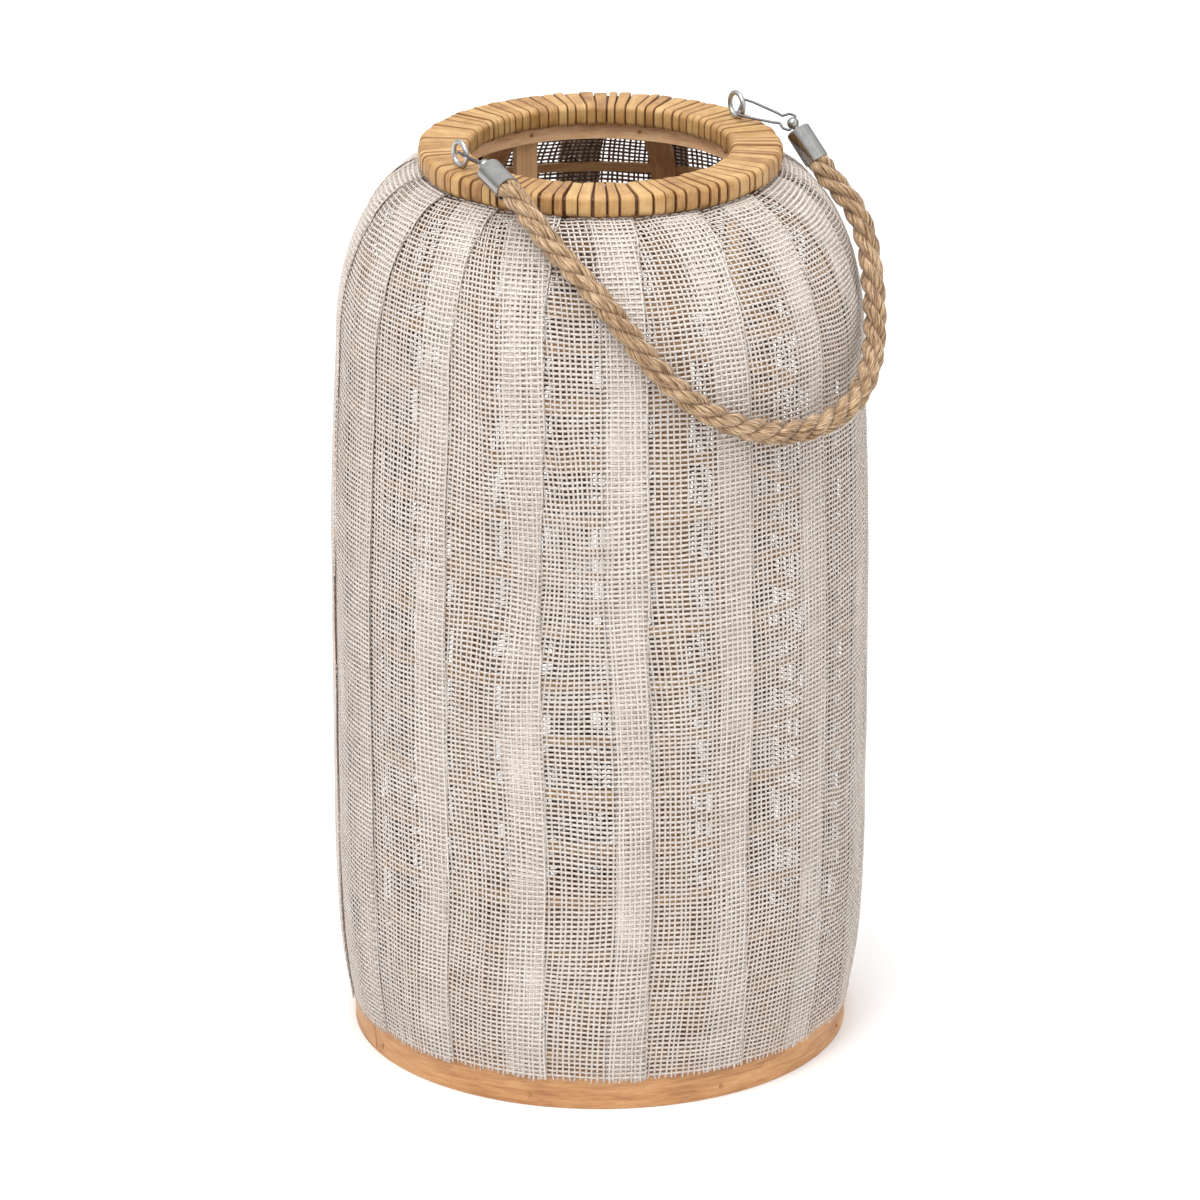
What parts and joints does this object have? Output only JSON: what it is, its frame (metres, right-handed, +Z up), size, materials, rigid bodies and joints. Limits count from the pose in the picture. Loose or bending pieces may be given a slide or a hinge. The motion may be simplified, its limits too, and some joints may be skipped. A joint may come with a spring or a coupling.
{
  "type": "hurricane candle lantern",
  "caption": "Tall round candle lantern: bamboo cage under pleated cotton gauze, rattan-wrapped rim, bent-wood base, lift-out glass cylinder and a jute rope handle.",
  "frame": {"origin": "centre of the underside, on the axis of the lantern", "axes": "+Z up along the lantern's axis, +X through the right-hand screw eye of the handle; the handle rests towards -Y"},
  "size_m": [0.232, 0.2403, 0.4126],
  "materials": {
    "plywood": "matte",
    "bent_wood": "satin",
    "bamboo": "satin",
    "rattan": "satin",
    "cotton_gauze": "matte",
    "steel": "satin",
    "plated_wire": "gloss",
    "jute": "matte",
    "clear_glass": "gloss"
  },
  "bodies": {
    "lantern": {"base_floor": "plywood", "base_band": "bent_wood", "band_nails": "steel", "rib_1": "bamboo", "rib_2": "bamboo", "rib_3": "bamboo", "rib_4": "bamboo", "rib_5": "bamboo", "rib_6": "bamboo", "rib_7": "bamboo", "rib_8": "bamboo", "post_1": "bamboo", "post_2": "bamboo", "post_3": "bamboo", "post_4": "bamboo", "hoop_01": "bamboo", "hoop_02": "bamboo", "hoop_03": "bamboo", "hoop_04": "bamboo", "hoop_05": "bamboo", "hoop_06": "bamboo", "hoop_07": "bamboo", "hoop_08": "bamboo", "hoop_09": "bamboo", "hoop_10": "bamboo", "hoop_11": "bamboo", "hoop_12": "bamboo", "hoop_13": "bamboo", "hoop_14": "bamboo", "hoop_15": "bamboo", "top_hoop": "bamboo", "top_hoop_nails": "steel", "rim_core": "bamboo", "rim_wrap": "rattan", "gauze_cover": "cotton_gauze", "screw_eye_right": "plated_wire", "screw_eye_left": "plated_wire"},
    "glass": {"glass_cylinder": "clear_glass"},
    "handle": {"bail_right": "plated_wire", "bail_left": "plated_wire", "ferrule_right": "steel", "ferrule_left": "steel", "rope": "jute"}
  },
  "joints": [
    {"name": "handle_swing", "type": "hinge", "parent": "lantern", "child": "handle", "pos_m": [0, 0, 0.4063], "axis": [-1, 0, 0], "range_deg": [0, 180]},
    {"name": "glass_lift", "type": "slide", "parent": "lantern", "child": "glass", "axis": [0, 0, 1], "range_m": [0, 0.42]}
  ]
}
